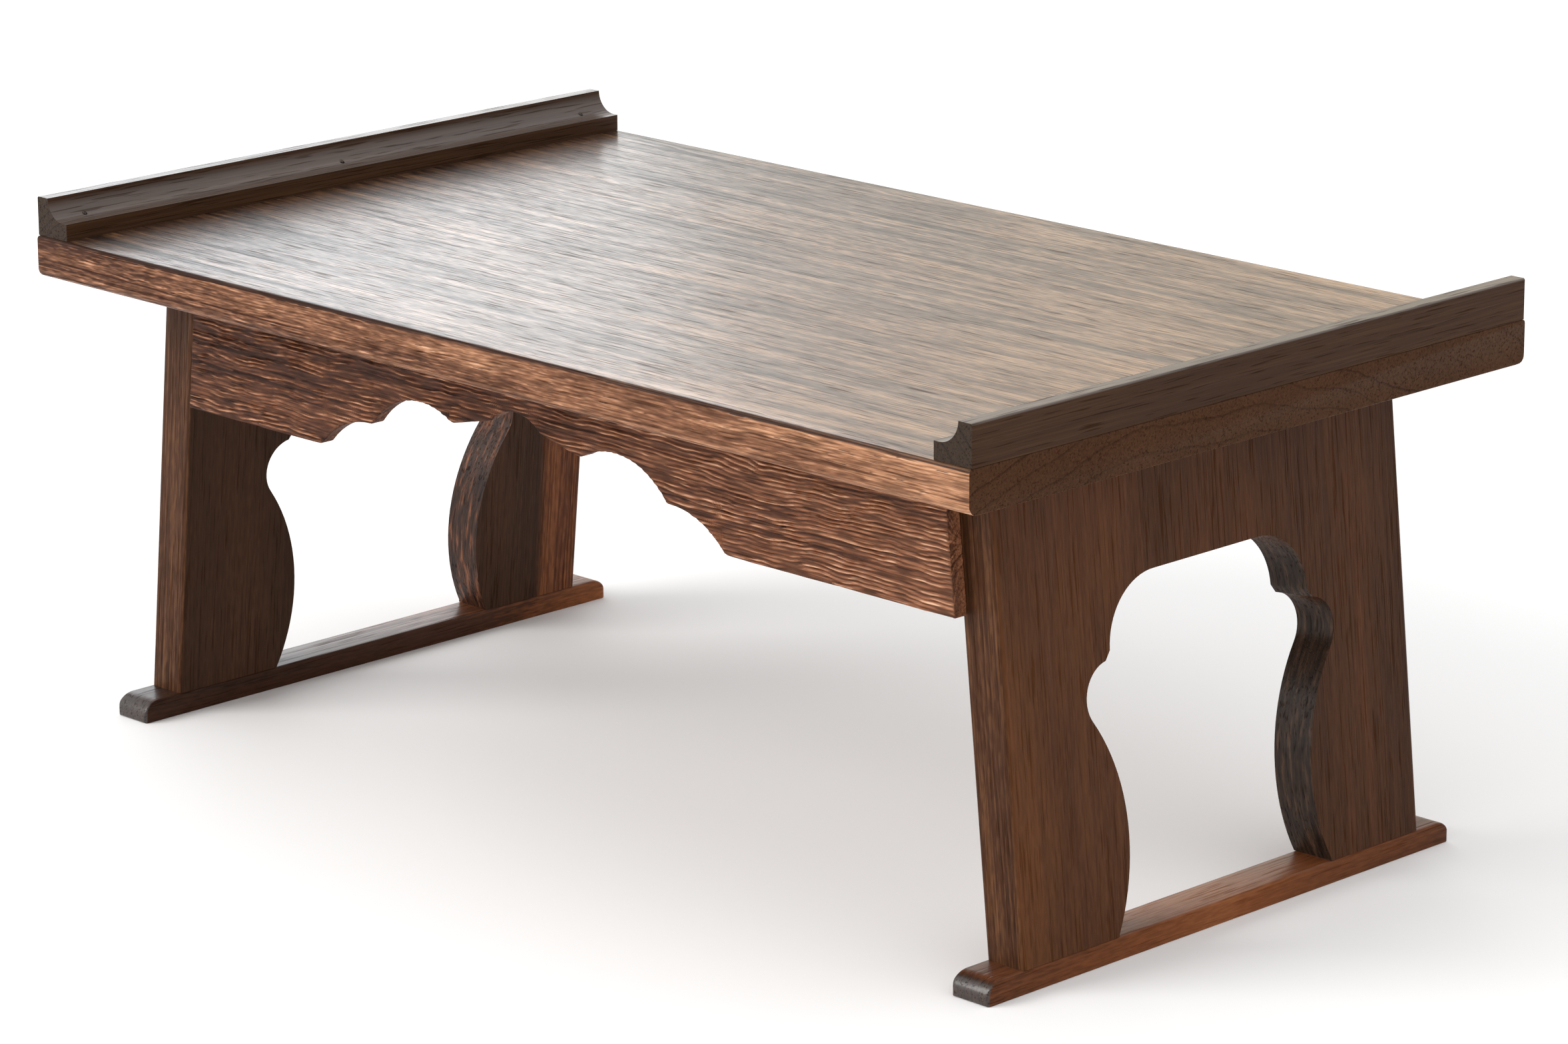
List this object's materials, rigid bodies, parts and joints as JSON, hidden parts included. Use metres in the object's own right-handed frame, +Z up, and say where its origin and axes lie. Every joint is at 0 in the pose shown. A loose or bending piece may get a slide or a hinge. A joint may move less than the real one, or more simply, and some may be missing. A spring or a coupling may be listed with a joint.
{
  "type": "folding low table",
  "caption": "Low table with a slab top between moulded end rails, scalloped aprons, and leaning leg panels with a curved cut-out that fold inwards on hinges.",
  "frame": {"origin": "on the floor, under the middle of the table", "axes": "+X along the length to the right-hand leg, +Y from the front to the back, +Z up"},
  "size_m": [0.6, 0.354, 0.2565],
  "materials": {
    "top_wood": "burnt and brushed, dark stain under satin lacquer",
    "rail_wood": "dark stain under satin lacquer",
    "apron_wood": "deeply brushed grain, brown stain",
    "leg_wood": "brushed, dark stain under satin lacquer",
    "foot_wood": "dark stain under satin lacquer",
    "batten_wood": "sawn, thinly stained",
    "dowel_wood": "plain",
    "hinge_steel": "dull bronzed",
    "screw_steel": "dull bronzed",
    "nail_steel": "blackened"
  },
  "bodies": {
    "table_top": {"back_apron": "apron_wood", "back_apron_batten": "batten_wood", "back_apron_screws": "screw_steel", "front_apron": "apron_wood", "front_apron_batten": "batten_wood", "front_apron_screws": "screw_steel", "left_end_rail": "rail_wood", "left_hinge_pins": "hinge_steel", "left_hinge_top_leaves": "hinge_steel", "left_hinge_top_screws": "screw_steel", "left_rail_nails": "nail_steel", "right_end_rail": "rail_wood", "right_hinge_pins": "hinge_steel", "right_hinge_top_leaves": "hinge_steel", "right_hinge_top_screws": "screw_steel", "right_rail_nails": "nail_steel", "top_panel": "top_wood"},
    "right_leg": {"right_leg_panel": "leg_wood", "right_foot_bar": "foot_wood", "right_foot_dowels": "dowel_wood", "right_hinge_leg_leaves": "hinge_steel", "right_hinge_leg_screws": "screw_steel"},
    "left_leg": {"left_leg_panel": "leg_wood", "left_foot_bar": "foot_wood", "left_foot_dowels": "dowel_wood", "left_hinge_leg_leaves": "hinge_steel", "left_hinge_leg_screws": "screw_steel"}
  },
  "joints": [
    {"name": "right_leg_fold", "type": "hinge", "parent": "table_top", "child": "right_leg", "pos_m": [0.24181, 0, 0.2153], "axis": [0, 1, 0], "range_deg": [0, 87]},
    {"name": "left_leg_fold", "type": "hinge", "parent": "table_top", "child": "left_leg", "pos_m": [-0.24181, 0, 0.2153], "axis": [0, -1, 0], "range_deg": [0, 87]}
  ]
}
